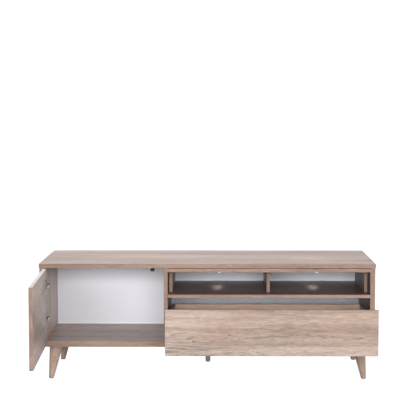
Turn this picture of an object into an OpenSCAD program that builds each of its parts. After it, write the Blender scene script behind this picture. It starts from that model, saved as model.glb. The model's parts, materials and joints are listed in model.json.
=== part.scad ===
// Low media cabinet on five tapered legs: an open-front compartment with one hinged door on the
// left, a two-cell niche with downlights over a wide drawer on the right.
// Millimetres. +X right, +Y to the back, +Z up. The floor is Z = 0 and the origin is under the
// centre support leg. The door and the drawer are drawn partly open, which is joint value zero.

/* [Overall size] */
// Width over the top panel
width = 1400; // [1100:10:1800]
// Depth over the top panel
depth = 480; // [400:5:600]
// Height of the cabinet body without its legs
body_h = 350; // [290:5:450]
// Length of the turned legs
leg_h = 140; // [80:5:220]

/* [Boards] */
// Thickness of the top panel
top_t = 18; // [15:1:25]
// Thickness of the bottom panel
bottom_t = 25; // [18:1:30]
// Thickness of the two outer sides
side_t = 20; // [18:1:25]
// Thickness of the partition between the compartment and the drawer side
partition_t = 16; // [15:1:22]
// Thickness of the niche shelf, sides and divider
niche_t = 14; // [12:1:18]
// Thickness of the niche ceiling board
ceiling_t = 15; // [14:1:18]
// Thickness of the thin back boards
back_t = 3; // [2.5:0.5:5]
// Thickness of the door and drawer fronts
front_t = 15; // [15:1:19]
// How far the top panel stands past each side
top_overhang = 2; // [0:1:10]
// Free space behind the back boards for cables
cable_space = 62; // [20:1:80]

/* [Layout] */
// Centre of the partition, to the left of the middle
partition_x = 172.5; // [100:0.5:260]
// Shadow gap between the top panel and the niche ceiling
ceiling_gap = 2; // [1:0.5:6]
// Clear height of the two niche cells
niche_h = 94; // [70:1:130]
// How far the niche sides and divider stand behind the front
niche_setback = 75; // [20:5:150]
// Gap beside the niche sides
niche_side_gap = 3; // [1:0.5:8]
// Gap between the closed fronts and the cabinet body
front_gap = 3; // [3:0.5:4]
// Width of side edge left uncovered beside the fronts
edge_reveal = 11; // [9:1:13]
// Gap between the closed door and the drawer front
fronts_gap = 4; // [2:0.5:5]
// How far that gap lies to the right of the partition's middle
split_shift = 3; // [-3:0.5:3]
// Height of the door's lower edge over the underside of the body
door_rise = 12; // [0:1:20]
// Height of the drawer front's lower edge over the underside of the body
drawer_front_rise = 3; // [0:1:20]
// Gap over the door, under the top panel
door_top_gap = 4; // [2:0.5:4.5]

/* [Door] */
// Opening angle at which the door is drawn
door_open = 87.5; // [0:0.5:95]
// Distance of the upper hinge under the top panel
hinge_from_top = 78; // [50:1:110]
// Distance of the lower hinge over the bottom panel
hinge_from_bottom = 90; // [50:1:110]
// Outer diameter of the hinge cup
cup_d = 35; // [35:1:36]
// Depth of the hinge cup in the door
cup_depth = 13.8; // [13:0.1:14]
// Distance of the push latch from the partition
latch_offset = 48; // [20:1:120]
// Length of the push latch
latch_l = 70; // [68:1:90]

/* [Drawer] */
// How far the drawer is drawn pulled out
drawer_pull = 180; // [0:5:300]
// Thickness of one three-part drawer slide
slide_w = 12.7; // [12:0.1:13.5]
// Height of the outer slide member
slide_h = 45; // [35:1:46]
// Thickness of the drawer side and back boards
drawer_t = 12; // [10:1:16]
// Space over the drawer box, under the niche shelf
drawer_top_space = 51; // [25:1:60]
// Height of the drawer box's lower edge over the bottom panel
drawer_rise = 11; // [8:1:16]
// Thickness of the drawer bottom sheet
drawer_bottom_t = 4; // [3:1:6]
// Finger gap between the drawer front and the niche shelf
grip_gap = 18; // [10:1:40]

/* [Legs] */
// Diameter at the top of a corner leg
leg_top_d = 56; // [40:1:60]
// Diameter at the top of the centre support leg
centre_leg_top_d = 31; // [28:1:56]
// Diameter at the foot of a leg
leg_foot_d = 21; // [18:1:36]
// Sideways lean of the corner legs, at the foot
leg_splay = 22; // [0:1:40]
// Distance of a corner leg's top centre from the body's end
leg_inset_x = 61; // [40:1:120]
// Distance of a corner leg's centre from the front and back
leg_inset_y = 46; // [35:1:90]
// Distance of the centre support leg from the back edge of the top
centre_leg_from_back = 93; // [60:1:250]
// Thickness of the glide under each leg
glide_t = 2; // [1:0.5:5]

/* [Fittings] */
// Diameter of the cam fittings
cam_d = 15; // [12:1:15]
// Depth of the cam fittings
cam_depth = 12.5; // [10:0.5:13]
// Diameter of the wooden dowels
dowel_d = 8; // [6:1:8]
// Length of the wooden dowels
dowel_l = 30; // [25:1:30]
// Outer diameter of the downlight rings
light_d = 58; // [40:1:80]
// Diameter of the downlight bodies
light_body_d = 50; // [34:1:72]
// Diameter of the domed lens
lens_d = 24; // [16:1:28]
// Distance of the downlights from the front
light_from_front = 100; // [60:1:200]

/* [Hidden] */

$fn = 48;

oak = [0.72, 0.62, 0.56];
oak_dark = [0.50, 0.42, 0.37];
white = [0.90, 0.90, 0.92];
steel = [0.70, 0.70, 0.72];
black = [0.08, 0.08, 0.08];
beech = [0.82, 0.68, 0.50];

// Clearances
fit = 0.3;             // between parts that meet but are not pressed together
slip = 0.05;           // around pins, dowels and screws in their holes
cut = 1;               // extra length of a cutting tool past a face

// Heights of the body's planes
body_z = leg_h + glide_t;
floor_z = body_z + bottom_t;
roof_z = body_z + body_h - top_t;
ceiling_z = roof_z - ceiling_gap - ceiling_t;
shelf_top_z = ceiling_z - niche_h;
shelf_z = shelf_top_z - niche_t;

// Planes across the body
body_x = width / 2 - top_overhang;
inner_x = body_x - side_t;
part_left = -partition_x - partition_t / 2;
part_right = -partition_x + partition_t / 2;

// Planes along the depth
back_edge_y = centre_leg_from_back;
front_y = back_edge_y - depth;
side_short = 2;         // how far the body stays behind the top's back edge
side_depth = depth - side_short;
back_y = back_edge_y - cable_space - back_t;

// Grooves that hold the back boards
groove_d = 5;
groove_slack = 0.2;

// Niche sides and divider
niche_y = front_y + niche_setback;
niche_back_y = back_y - fit;
niche_left_x = part_right + niche_side_gap;
niche_right_x = inner_x - niche_side_gap - niche_t;
niche_divider_x = (niche_left_x + niche_right_x) / 2;
cell_w = niche_divider_x - niche_left_x - niche_t;
niche_board_x = [niche_left_x, niche_divider_x, niche_right_x];
light_x = [niche_left_x + niche_t + cell_w / 2, niche_divider_x + niche_t + cell_w / 2];
light_y = front_y + light_from_front;
light_flange_t = 1.5;
light_body_h = 11;
light_wall = 3;
lens_disc_t = 2;
lens_disc_rise = 0.5;
lens_drop = 4;

// Fronts: the closed door and drawer front
door_left = -body_x + edge_reveal;
door_right = -partition_x - fronts_gap / 2 + split_shift;
drawer_front_left = door_right + fronts_gap;
drawer_front_right = body_x - edge_reveal;
door_z = body_z + door_rise;
drawer_front_z = body_z + drawer_front_rise;
door_top_z = roof_z - door_top_gap;
drawer_front_top_z = shelf_z - grip_gap;
front_back_y = front_y - front_gap;
front_face_y = front_back_y - front_t;

// Hinge: cup centre and pin, measured from the door's hinge edge and inner face
cup_edge = 4;
cup_wall = 1;
cup_x = door_left + cup_edge + cup_d / 2;
pin_edge = 7.8;
pin_in = 10;
pin_x = door_left + pin_edge;
pin_y = front_back_y - pin_in;
pin_d = 2.2;
knuckle_r = 2.1;
knuckle_half = 3.1;
ear_gap = fit;
ear_t = 3;
ear_half_w = 2.4;
ear_over_pin = 2.2;
rim_d = 38;
rim_t = 1.2;
cup_flange_w = 22;
cup_flange_h = 60;
cup_floor_y = front_back_y - cup_depth;
cup_screw_z = 24;
cup_screw_l = 11;
cup_screw_d = 3.5;
cup_screw_head_d = 7;
cup_screw_head_t = 0.8;
hook_t = 1.8;
hook_leg_x = cup_x;
hook_leg_t = 2.5;
arm_x = -inner_x + 5;
arm_w = 14;
arm_wall = 2;
arm_t = hook_leg_x + hook_leg_t - arm_x;
arm_start_y = front_y + 2.5;
arm_end_y = front_y + 58;
arm_screw_ys = [front_y + 38, front_y + 51];
arm_screw_d = 4;
arm_screw_head_d = 7.5;
arm_screw_head_t = 1.8;
arm_screw_tip_x = -inner_x + 1.2;
plate_t = 3;
plate_start_y = front_y + 30;
plate_end_y = front_y + 64;
plate_h = 50;
plate_wing_w = 14;
plate_screw_z = 17;
plate_screw_y = front_y + 47;
plate_screw_l = 12;
plate_screw_d = 5;
plate_screw_head_d = 8.5;
plate_screw_head_t = 1.6;
hinge_heights = [roof_z - hinge_from_top, floor_z + hinge_from_bottom];

// Push latch, under the top panel beside the partition
latch_x = part_left - latch_offset;
latch_w = 14;
latch_h = 14;
latch_y = front_y + 6;
latch_z = roof_z - 9.5;
plunger_d = 6;
plunger_tip_y = front_back_y + 1.5;
plunger_l = 40;
plunger_room = 8;
plunger_dimple_d = 3;
plunger_dimple = 0.5;
strike_d = 9;
strike_t = 1;
latch_screw_ys = [latch_y + plunger_l + plunger_room + 4, latch_y + latch_l - 6];
latch_screw_z = roof_z - latch_h / 2;
latch_screw_d = 3;
latch_head_d = 5.6;
latch_head_t = 2.5;
latch_counterbore_d = 6;

// Drawer box and slides, closed
drawer_x0 = part_right + slide_w + fit;
drawer_x1 = inner_x - slide_w - fit;
drawer_z = floor_z + drawer_rise;
drawer_h = shelf_z - drawer_top_space - drawer_z;
drawer_box_y = front_back_y;
slide_step = 50;
slide_back_room = 30;
slide_l = slide_step * floor((back_y - front_y - slide_back_room) / slide_step);
drawer_box_l = slide_l - 5;
drawer_side_mids = [drawer_x0 + drawer_t / 2, drawer_x1 - drawer_t / 2];
front_screw_heights = [drawer_z + drawer_h / 4, drawer_z + drawer_h * 3 / 4];
front_screw_d = 5;
front_screw_in_front = 11;
front_screw_in_side = 28;
drawer_groove_rise = 8;
slide_z = drawer_z + drawer_h / 2;
slide_y = front_y + 3;
slide_sheet = 1.2;
middle_h = slide_h - 8;
inner_h = slide_h - 16;
middle_offset = 4;
outer_flange = 9;
middle_flange = 6;
inner_flange = 5.8;
slide_screw_ys = [slide_y + 37, slide_y + slide_l - 60];
slide_screw_d = 3.5;
slide_screw_in_cabinet = 11;
slide_screw_in_drawer = 9;
slide_head_d = 7;
slide_head_t = 1.5;

// Legs: top centre, lean and top diameter of each
corner_x = body_x - leg_inset_x;
corner_front_y = front_y + leg_inset_y;
corner_rear_y = front_y + side_depth - leg_inset_y;
legs = [[-corner_x, corner_front_y, -leg_splay, leg_top_d],
        [corner_x, corner_front_y, leg_splay, leg_top_d],
        [-corner_x, corner_rear_y, -leg_splay, leg_top_d],
        [corner_x, corner_rear_y, leg_splay, leg_top_d],
        [0, 0, 0, centre_leg_top_d]];
leg_plate_t = 2.5;
leg_plate_min_d = 44;
leg_top_z = body_z - leg_plate_t;
leg_bolt_d = 8;
leg_bolt_l = 34;
leg_trim = 12;          // a leg is cut level from a cone that is this much longer at both ends
leg_screw_edge = 7;
leg_screw_l = 16;
leg_screw_d = 4;
leg_screw_head_d = 7.6;
leg_screw_head_h = 2;
glide_inset = 1.5;

// Cams: 34 mm from the board's edge, two along each joint, with a dowel one hole pitch inside each
cam_edge = 34;
cam_bolt_d = 6;
cam_bolt_in_panel = 11;
cam_bolt_l = cam_bolt_in_panel + cam_edge - cam_bolt_d / 2;
cam_front_y = front_y + 90;
cam_rear_y = back_y - 60;
cam_rows = [cam_front_y, cam_rear_y];
cam_bolt_room = 0.6;
cam_slot_l = 9;
cam_slot_w = 1.6;
cam_slot_depth = 2.5;
hole_pitch = 32;
dowel_rows = [cam_front_y + hole_pitch, cam_rear_y - hole_pitch];
dowel_shift = 5;        // towards the board that holds the dowel lengthways
niche_dowel_d = dowel_d - 2;
niche_dowel_rows = [niche_y + 75, niche_back_y - 45];

// Height of the middle of the niche's two long boards
ceiling_mid_z = ceiling_z + ceiling_t / 2;
shelf_mid_z = shelf_z + niche_t / 2;

// Upright boards: face that their cams are set in, way into the board, middle of the board
uprights = [[-inner_x, -1, -inner_x - side_t / 2],
            [inner_x, 1, inner_x + side_t / 2],
            [part_right, -1, part_right - partition_t / 2]];

// ---------- shared shapes ----------

// A plain board from its lowest to its highest corner
module board(low, high) {
    translate(low) cube(high - low);
}

// A round bar along X, Y or Z from a start point
module bar_x(start, l, d) { translate(start) rotate([0, 90, 0]) cylinder(d = d, h = l); }
module bar_y(start, l, d) { translate(start) rotate([-90, 0, 0]) cylinder(d = d, h = l); }
module bar_z(start, l, d) { translate(start) cylinder(d = d, h = l); }

// The door, the drawer and the middle slide members are built closed and then moved
module door_pose() {
    translate([pin_x, pin_y, 0]) rotate([0, 0, -door_open]) translate([-pin_x, -pin_y, 0])
        children();
}
module drawer_pose() { translate([0, -drawer_pull, 0]) children(); }
module middle_pose() { translate([0, -drawer_pull / 2, 0]) children(); }

// ---------- joints between the boards ----------

// Cams of one upright board: x is the face they are set in, way is +1 or -1 into the board
module board_cams(x, way, grow = 0) {
    for (y = cam_rows, z = [floor_z + cam_edge, roof_z - cam_edge])
        translate([x, y, z]) rotate([0, way * 90, 0])
            cylinder(d = cam_d + 2 * grow, h = cam_depth + grow);
}
// Bolts of one upright board, at the middle of its thickness, into the top and bottom panels
module board_bolts(x, grow = 0) {
    for (y = cam_rows) {
        bar_z([x, y, floor_z - cam_bolt_in_panel - grow],
              cam_bolt_l + 2 * grow, cam_bolt_d + 2 * grow);
        bar_z([x, y, roof_z + cam_bolt_in_panel - cam_bolt_l - grow],
              cam_bolt_l + 2 * grow, cam_bolt_d + 2 * grow);
    }
}
// The cross slots that turn the cams of one upright board, in its face at x
module board_cam_slots(x) {
    for (y = cam_rows, z = [floor_z + cam_edge, roof_z - cam_edge]) {
        translate([x, y, z]) cube([2 * cam_slot_depth, cam_slot_l, cam_slot_w], center = true);
        translate([x, y, z]) cube([2 * cam_slot_depth, cam_slot_w, cam_slot_l], center = true);
    }
}
// Dowels of one upright board into the top and bottom panels
module board_dowels(x, grow = 0) {
    for (y = dowel_rows, z = [floor_z, roof_z])
        bar_z([x, y, z - dowel_l / 2 + (z == floor_z ? dowel_shift : -dowel_shift) - grow],
              dowel_l + 2 * grow, dowel_d + 2 * grow);
}

// Dowels at both ends of the shelf and the niche ceiling, along X
module shelf_dowels(z, grow = 0) {
    for (y = dowel_rows, x = [part_right, inner_x])
        bar_x([x - dowel_l / 2 + (x == part_right ? dowel_shift : -dowel_shift) - grow, y, z],
              dowel_l + 2 * grow, dowel_d + 2 * grow);
}
// Dowels over and under the niche sides and the divider
module niche_dowels(z, shift, grow = 0) {
    for (x = niche_board_x, y = niche_dowel_rows)
        bar_z([x + niche_t / 2, y, z - dowel_l / 2 + shift - grow],
              dowel_l + 2 * grow, niche_dowel_d + 2 * grow);
}

// ---------- body boards ----------

module top_panel() {
    color(oak) difference() {
        board([-width / 2, front_y, roof_z], [width / 2, back_edge_y, roof_z + top_t]);
        back_grooves();
        for (u = uprights) {
            board_bolts(u[2], slip);
            board_dowels(u[2], slip);
        }
    }
}
module bottom_panel() {
    color(oak) difference() {
        board([-body_x, front_y, body_z], [body_x, front_y + side_depth, floor_z]);
        back_grooves();
        for (u = uprights) {
            board_bolts(u[2], slip);
            board_dowels(u[2], slip);
        }
        for (leg = legs) leg_screws(leg, slip);
    }
}
// Grooves around both back boards, cut into the boards that frame them
module back_grooves() {
    board([-inner_x - groove_d, back_y - groove_slack, floor_z - groove_d],
          [part_left + groove_d, back_y + back_t + groove_slack, roof_z + groove_d]);
    board([part_right - groove_d, back_y - groove_slack, floor_z - groove_d],
          [inner_x + groove_d, back_y + back_t + groove_slack, roof_z + groove_d]);
}
module upright_board(x0, x1, u) {
    difference() {
        board([x0, front_y, floor_z], [x1, front_y + side_depth, roof_z]);
        back_grooves();
        board_cams(u[0], u[1], slip);
        board_bolts(u[2], slip);
        board_dowels(u[2], slip);
        children();
    }
}
module left_side() {
    color(oak) upright_board(-body_x, -inner_x, uprights[0])
        hinge_plate_shanks(slip);
}
module right_side() {
    color(oak) upright_board(inner_x, body_x, uprights[1]) {
        shelf_dowels(shelf_mid_z, slip);
        shelf_dowels(ceiling_mid_z, slip);
        slide_cabinet_shanks(slip);
    }
}
module partition() {
    color(oak) upright_board(part_left, part_right, uprights[2]) {
        shelf_dowels(shelf_mid_z, slip);
        shelf_dowels(ceiling_mid_z, slip);
        slide_cabinet_shanks(slip);
    }
}
module niche_ceiling() {
    color(oak) difference() {
        board([part_right, front_y, ceiling_z], [inner_x, niche_back_y, ceiling_z + ceiling_t]);
        shelf_dowels(ceiling_mid_z, slip);
        niche_dowels(ceiling_z, -dowel_shift, slip);
        for (x = light_x)
            bar_z([x, light_y, ceiling_z - cut], light_body_h + fit + cut, light_body_d + 1);
    }
}
module niche_shelf() {
    color(oak_dark) difference() {
        board([part_right, front_y, shelf_z], [inner_x, niche_back_y, shelf_top_z]);
        shelf_dowels(shelf_mid_z, slip);
        niche_dowels(shelf_top_z, dowel_shift, slip);
    }
}
module niche_board(x) {
    color(oak) difference() {
        board([x, niche_y, shelf_top_z], [x + niche_t, niche_back_y, ceiling_z]);
        niche_dowels(ceiling_z, -dowel_shift, slip);
        niche_dowels(shelf_top_z, dowel_shift, slip);
    }
}
module niche_left_side() { niche_board(niche_left_x); }
module niche_divider() { niche_board(niche_divider_x); }
module niche_right_side() { niche_board(niche_right_x); }

module back_sheet(x0, x1) {
    color(white)
        board([x0 - groove_d + fit, back_y, floor_z - groove_d + fit],
              [x1 + groove_d - fit, back_y + back_t, roof_z + groove_d - fit]);
}
module back_left() { back_sheet(-inner_x, part_left); }
module back_right() { back_sheet(part_right, inner_x); }

// ---------- legs ----------

// Moves to a leg's top centre and leans it: the foot stands leg[2] to the side
module on_leg(leg) {
    translate([leg[0], leg[1], leg_top_z]) rotate([0, 180 - atan(leg[2] / leg_h), 0]) children();
}
module tapered_leg(leg) {
    taper = (leg[3] - leg_foot_d) / 2 / leg_h;
    color(oak) difference() {
        intersection() {
            on_leg(leg) translate([0, 0, -leg_trim])
                cylinder(r1 = leg[3] / 2 + leg_trim * taper,
                         r2 = leg_foot_d / 2 - leg_trim * taper, h = leg_h + 2 * leg_trim);
            translate([leg[0] - width / 4, leg[1] - depth / 2, glide_t])
                cube([width / 2, depth, leg_top_z - glide_t]);
        }
        leg_bolt(leg, slip);
    }
}
module front_left_leg() { tapered_leg(legs[0]); }
module front_right_leg() { tapered_leg(legs[1]); }
module rear_left_leg() { tapered_leg(legs[2]); }
module rear_right_leg() { tapered_leg(legs[3]); }
module centre_leg() { tapered_leg(legs[4]); }

// Hanger bolt along a leg's axis, cut level with the top of its plate
module leg_bolt(leg, grow = 0) {
    intersection() {
        on_leg(leg) translate([0, 0, -leg_trim])
            cylinder(d = leg_bolt_d + 2 * grow, h = leg_bolt_l + leg_trim + grow);
        translate([leg[0] - leg_top_d, leg[1] - leg_top_d, 0])
            cube([2 * leg_top_d, 2 * leg_top_d, body_z]);
    }
}
module leg_bolts() {
    color(steel) for (leg = legs) leg_bolt(leg);
}
function leg_plate_d(leg) = max(leg[3] - 4, leg_plate_min_d);
module leg_plates() {
    color(steel) for (leg = legs) difference() {
        bar_z([leg[0], leg[1], leg_top_z], leg_plate_t, leg_plate_d(leg));
        leg_bolt(leg, slip);
        leg_screws(leg, slip);
    }
}
// Countersunk screw that holds a leg plate, head down, at its own X and Y
module leg_screw(grow = 0) {
    translate([0, 0, leg_top_z])
        cylinder(d1 = leg_screw_head_d + 2 * grow, d2 = leg_screw_d + 2 * grow,
                 h = leg_screw_head_h);
    bar_z([0, 0, leg_top_z + leg_screw_head_h - slip],
          leg_screw_l - leg_screw_head_h + slip + grow, leg_screw_d + 2 * grow);
}
module leg_screws(leg, grow = 0) {
    r = leg_plate_d(leg) / 2 - leg_screw_edge;
    for (a = [45 : 90 : 315])
        translate([leg[0] + r * cos(a), leg[1] + r * sin(a), 0]) leg_screw(grow);
}
module leg_plate_screws() { color(steel) for (leg = legs) leg_screws(leg); }
module leg_glides() {
    color(black) for (leg = legs)
        bar_z([leg[0] + leg[2] * (leg_top_z - glide_t) / leg_h, leg[1], 0],
              glide_t, leg_foot_d - 2 * glide_inset);
}

// ---------- downlights in the niche ceiling ----------

module light_ring(x) {
    color(white) difference() {
        union() {
            bar_z([x, light_y, ceiling_z - light_flange_t], light_flange_t, light_d);
            bar_z([x, light_y, ceiling_z - cut / 2], light_body_h + cut / 2, light_body_d);
        }
        bar_z([x, light_y, ceiling_z - light_flange_t - cut],
              light_body_h - light_wall + light_flange_t + cut, light_body_d - 2 * light_wall);
    }
}
module light_lens(x) {
    color("ivory") {
        bar_z([x, light_y, ceiling_z + lens_disc_rise], lens_disc_t,
              light_body_d - 2 * light_wall - 2 * slip);
        bar_z([x, light_y, ceiling_z - lens_drop],
              lens_drop + lens_disc_rise + lens_disc_t / 2, lens_d);
        translate([x, light_y, ceiling_z - lens_drop]) sphere(d = lens_d);
    }
}
module light_ring_left() { light_ring(light_x[0]); }
module light_ring_right() { light_ring(light_x[1]); }
module light_lens_left() { light_lens(light_x[0]); }
module light_lens_right() { light_lens(light_x[1]); }

// ---------- push latch ----------

module push_latch_body() {
    color(black) difference() {
        board([latch_x - latch_w / 2, latch_y, roof_z - latch_h],
              [latch_x + latch_w / 2, latch_y + latch_l, roof_z]);
        bar_y([latch_x, latch_y - cut, latch_z],
              plunger_l + plunger_room - (latch_y - plunger_tip_y) + cut, plunger_d + 2 * slip);
        for (y = latch_screw_ys) {
            bar_z([latch_x, y, latch_screw_z - cut], latch_h / 2 + 2 * cut,
                  latch_screw_d + 2 * slip);
            bar_z([latch_x, y, roof_z - latch_h - cut], latch_h / 2 + cut, latch_counterbore_d);
        }
    }
}
module push_latch_plunger() {
    color([0.25, 0.25, 0.26]) difference() {
        bar_y([latch_x, plunger_tip_y, latch_z], plunger_l, plunger_d);
        bar_y([latch_x, plunger_tip_y - cut, latch_z], plunger_dimple + cut, plunger_dimple_d);
    }
}
module push_latch_screws() {
    color(steel) for (y = latch_screw_ys) {
        bar_z([latch_x, y, latch_screw_z - latch_head_t], latch_head_t, latch_head_d);
        bar_z([latch_x, y, latch_screw_z], latch_h / 2, latch_screw_d);
    }
}
module latch_strike() {
    color(steel) door_pose() bar_y([latch_x, front_back_y, latch_z], strike_t, strike_d);
}

// ---------- hinges ----------

// Fixed arm: hooks round into the cup and carries the knuckle that turns on the pin
module hinge_arm(z) {
    color(steel) difference() {
        union() {
            bar_z([pin_x, pin_y, z - knuckle_half], 2 * knuckle_half, 2 * knuckle_r);
            board([pin_x, pin_y - knuckle_r, z - knuckle_half],
                  [hook_leg_x + hook_leg_t, pin_y - knuckle_r + hook_t, z + knuckle_half]);
            board([hook_leg_x, pin_y - knuckle_r, z - knuckle_half],
                  [hook_leg_x + hook_leg_t, arm_start_y, z + knuckle_half]);
            board([hook_leg_x, front_y - 1, z - arm_w / 2],
                  [hook_leg_x + hook_leg_t, arm_start_y, z + arm_w / 2]);
            board([arm_x, arm_start_y, z - arm_w / 2], [arm_x + arm_t, arm_end_y, z + arm_w / 2]);
        }
        bar_z([pin_x, pin_y, z - knuckle_half - cut], 2 * (knuckle_half + cut),
              pin_d + 2 * slip);
        board([arm_x - cut, arm_start_y + hook_leg_t, z - arm_w / 2 + arm_wall],
              [arm_x + arm_t - arm_wall, plate_start_y - 2 * arm_wall, z + arm_w / 2 - arm_wall]);
        for (y = arm_screw_ys)
            bar_x([arm_x - cut, y, z], arm_t + 2 * cut, arm_screw_d + 2 * slip);
    }
}
module hinge_arm_upper() { hinge_arm(hinge_heights[0]); }
module hinge_arm_lower() { hinge_arm(hinge_heights[1]); }

// Wing plate on the cabinet side, with the block that the arm is screwed to
module hinge_plate(z) {
    color(steel) difference() {
        union() {
            board([-inner_x, plate_screw_y - plate_wing_w / 2, z - plate_h / 2],
                  [-inner_x + plate_t, plate_screw_y + plate_wing_w / 2, z + plate_h / 2]);
            board([-inner_x, plate_start_y, z - arm_w / 2],
                  [arm_x, plate_end_y, z + arm_w / 2]);
        }
        for (y = arm_screw_ys)
            bar_x([arm_screw_tip_x - slip, y, z], arm_x - arm_screw_tip_x + slip + cut,
                  arm_screw_d + 2 * slip);
        for (s = [-1, 1])
            bar_x([-inner_x - cut, plate_screw_y, z + s * plate_screw_z],
                  plate_t + 2 * cut, plate_screw_d + 2 * slip);
    }
}
module hinge_plate_upper() { hinge_plate(hinge_heights[0]); }
module hinge_plate_lower() { hinge_plate(hinge_heights[1]); }

module hinge_plate_shanks(grow = 0) {
    for (z = hinge_heights, s = [-1, 1])
        bar_x([-inner_x - plate_screw_l - grow, plate_screw_y, z + s * plate_screw_z],
              plate_screw_l + plate_t + grow, plate_screw_d + 2 * grow);
}
module hinge_plate_screws() {
    color(steel) {
        hinge_plate_shanks();
        for (z = hinge_heights, s = [-1, 1])
            bar_x([-inner_x + plate_t, plate_screw_y, z + s * plate_screw_z],
                  plate_screw_head_t, plate_screw_head_d);
    }
}
module hinge_arm_screws() {
    color(steel) for (z = hinge_heights, y = arm_screw_ys) {
        bar_x([arm_screw_tip_x, y, z], arm_x + arm_t - arm_screw_tip_x, arm_screw_d);
        bar_x([arm_x + arm_t, y, z], arm_screw_head_t, arm_screw_head_d);
    }
}

// Cup sunk in the door, with its flange and the two ears that hold the pin
module hinge_cup(z) {
    ear_z = knuckle_half + ear_gap;
    color(steel) door_pose() difference() {
        union() {
            difference() {
                union() {
                    bar_y([cup_x, cup_floor_y, z], cup_depth, cup_d);
                    bar_y([cup_x, front_back_y, z], rim_t, rim_d);
                    board([cup_x - cup_flange_w / 2, front_back_y, z - cup_flange_h / 2],
                          [cup_x + cup_flange_w / 2, front_back_y + rim_t, z + cup_flange_h / 2]);
                }
                bar_y([cup_x, cup_floor_y + cup_wall, z], cup_depth + rim_t + cut,
                      cup_d - 2 * cup_wall);
            }
            for (s = [-1, 1])
                intersection() {
                    board([pin_x - ear_half_w, cup_floor_y + cup_wall / 2,
                           z + s * (ear_z + ear_t / 2) - ear_t / 2],
                          [pin_x + ear_half_w, pin_y + ear_over_pin,
                           z + s * (ear_z + ear_t / 2) + ear_t / 2]);
                    bar_y([cup_x, cup_floor_y, z], cup_depth, cup_d - cup_wall);
                }
        }
        bar_z([pin_x, pin_y, z - ear_z - ear_t - cut], 2 * (ear_z + ear_t + cut),
              pin_d + 2 * slip);
        for (s = [-1, 1])
            bar_y([cup_x, front_back_y - cut, z + s * cup_screw_z], rim_t + 2 * cut,
                  cup_screw_d + 2 * slip);
    }
}
module hinge_cup_upper() { hinge_cup(hinge_heights[0]); }
module hinge_cup_lower() { hinge_cup(hinge_heights[1]); }

module hinge_pins() {
    half = knuckle_half + ear_gap + ear_t - fit;
    color(steel) for (z = hinge_heights) bar_z([pin_x, pin_y, z - half], 2 * half, pin_d);
}
module cup_shanks(grow = 0) {
    for (z = hinge_heights, s = [-1, 1])
        bar_y([cup_x, front_back_y - cup_screw_l - grow, z + s * cup_screw_z],
              cup_screw_l + rim_t + grow, cup_screw_d + 2 * grow);
}
module hinge_cup_screws() {
    color(steel) door_pose() {
        cup_shanks();
        for (z = hinge_heights, s = [-1, 1])
            bar_y([cup_x, front_back_y + rim_t, z + s * cup_screw_z],
                  cup_screw_head_t, cup_screw_head_d);
    }
}
module door_panel() {
    color(oak) door_pose() difference() {
        board([door_left, front_face_y, door_z], [door_right, front_back_y, door_top_z]);
        for (z = hinge_heights)
            bar_y([cup_x, cup_floor_y - slip, z], cup_depth + cut, cup_d + 2 * slip);
        cup_shanks(slip);
    }
}

// ---------- cams, their bolts and the dowels ----------

module cam_locks() {
    color(steel) for (u = uprights) difference() {
        board_cams(u[0], u[1]);
        board_bolts(u[2], cam_bolt_room);
        board_cam_slots(u[0]);
    }
}
module cam_bolts() {
    color(steel) for (u = uprights) board_bolts(u[2]);
}
module dowels() {
    color(beech) {
        for (u = uprights) board_dowels(u[2]);
        shelf_dowels(shelf_mid_z);
        shelf_dowels(ceiling_mid_z);
        niche_dowels(ceiling_z, -dowel_shift);
        niche_dowels(shelf_top_z, dowel_shift);
    }
}

// ---------- drawer ----------

// Screws through the front into the ends of the sides
module front_screws(grow = 0) {
    for (x = drawer_side_mids, z = front_screw_heights)
        bar_y([x, front_back_y - front_screw_in_front - grow, z],
              front_screw_in_front + front_screw_in_side + 2 * grow, front_screw_d + 2 * grow);
}
module drawer_front() {
    color(oak) drawer_pose() difference() {
        board([drawer_front_left, front_face_y, drawer_front_z],
              [drawer_front_right, front_back_y, drawer_front_top_z]);
        front_screws(slip);
        drawer_bottom_groove();
    }
}
// Groove for the bottom sheet, in the sides and the front
module drawer_bottom_groove() {
    board([drawer_x0 + drawer_t - groove_d, front_back_y - groove_d,
           drawer_z + drawer_groove_rise - groove_slack],
          [drawer_x1 - drawer_t + groove_d, drawer_box_y + drawer_box_l + cut,
           drawer_z + drawer_groove_rise + drawer_bottom_t + groove_slack]);
}
module drawer_side(x0) {
    color(oak_dark) drawer_pose() difference() {
        board([x0, drawer_box_y, drawer_z],
              [x0 + drawer_t, drawer_box_y + drawer_box_l, drawer_z + drawer_h]);
        front_screws(slip);
        drawer_bottom_groove();
        slide_drawer_shanks(slip);
    }
}
module drawer_left_side() { drawer_side(drawer_x0); }
module drawer_right_side() { drawer_side(drawer_x1 - drawer_t); }
module drawer_back() {
    color(oak) drawer_pose()
        board([drawer_x0 + drawer_t, drawer_box_y + drawer_box_l - drawer_t,
               drawer_z + drawer_groove_rise + drawer_bottom_t + fit],
              [drawer_x1 - drawer_t, drawer_box_y + drawer_box_l, drawer_z + drawer_h]);
}
module drawer_bottom() {
    color(white) drawer_pose()
        board([drawer_x0 + drawer_t - groove_d + fit, front_back_y - groove_d + fit,
               drawer_z + drawer_groove_rise],
              [drawer_x1 - drawer_t + groove_d - fit, drawer_box_y + drawer_box_l,
               drawer_z + drawer_groove_rise + drawer_bottom_t]);
}
module drawer_front_screws() { color(steel) drawer_pose() front_screws(); }

// ---------- drawer slides ----------

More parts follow.
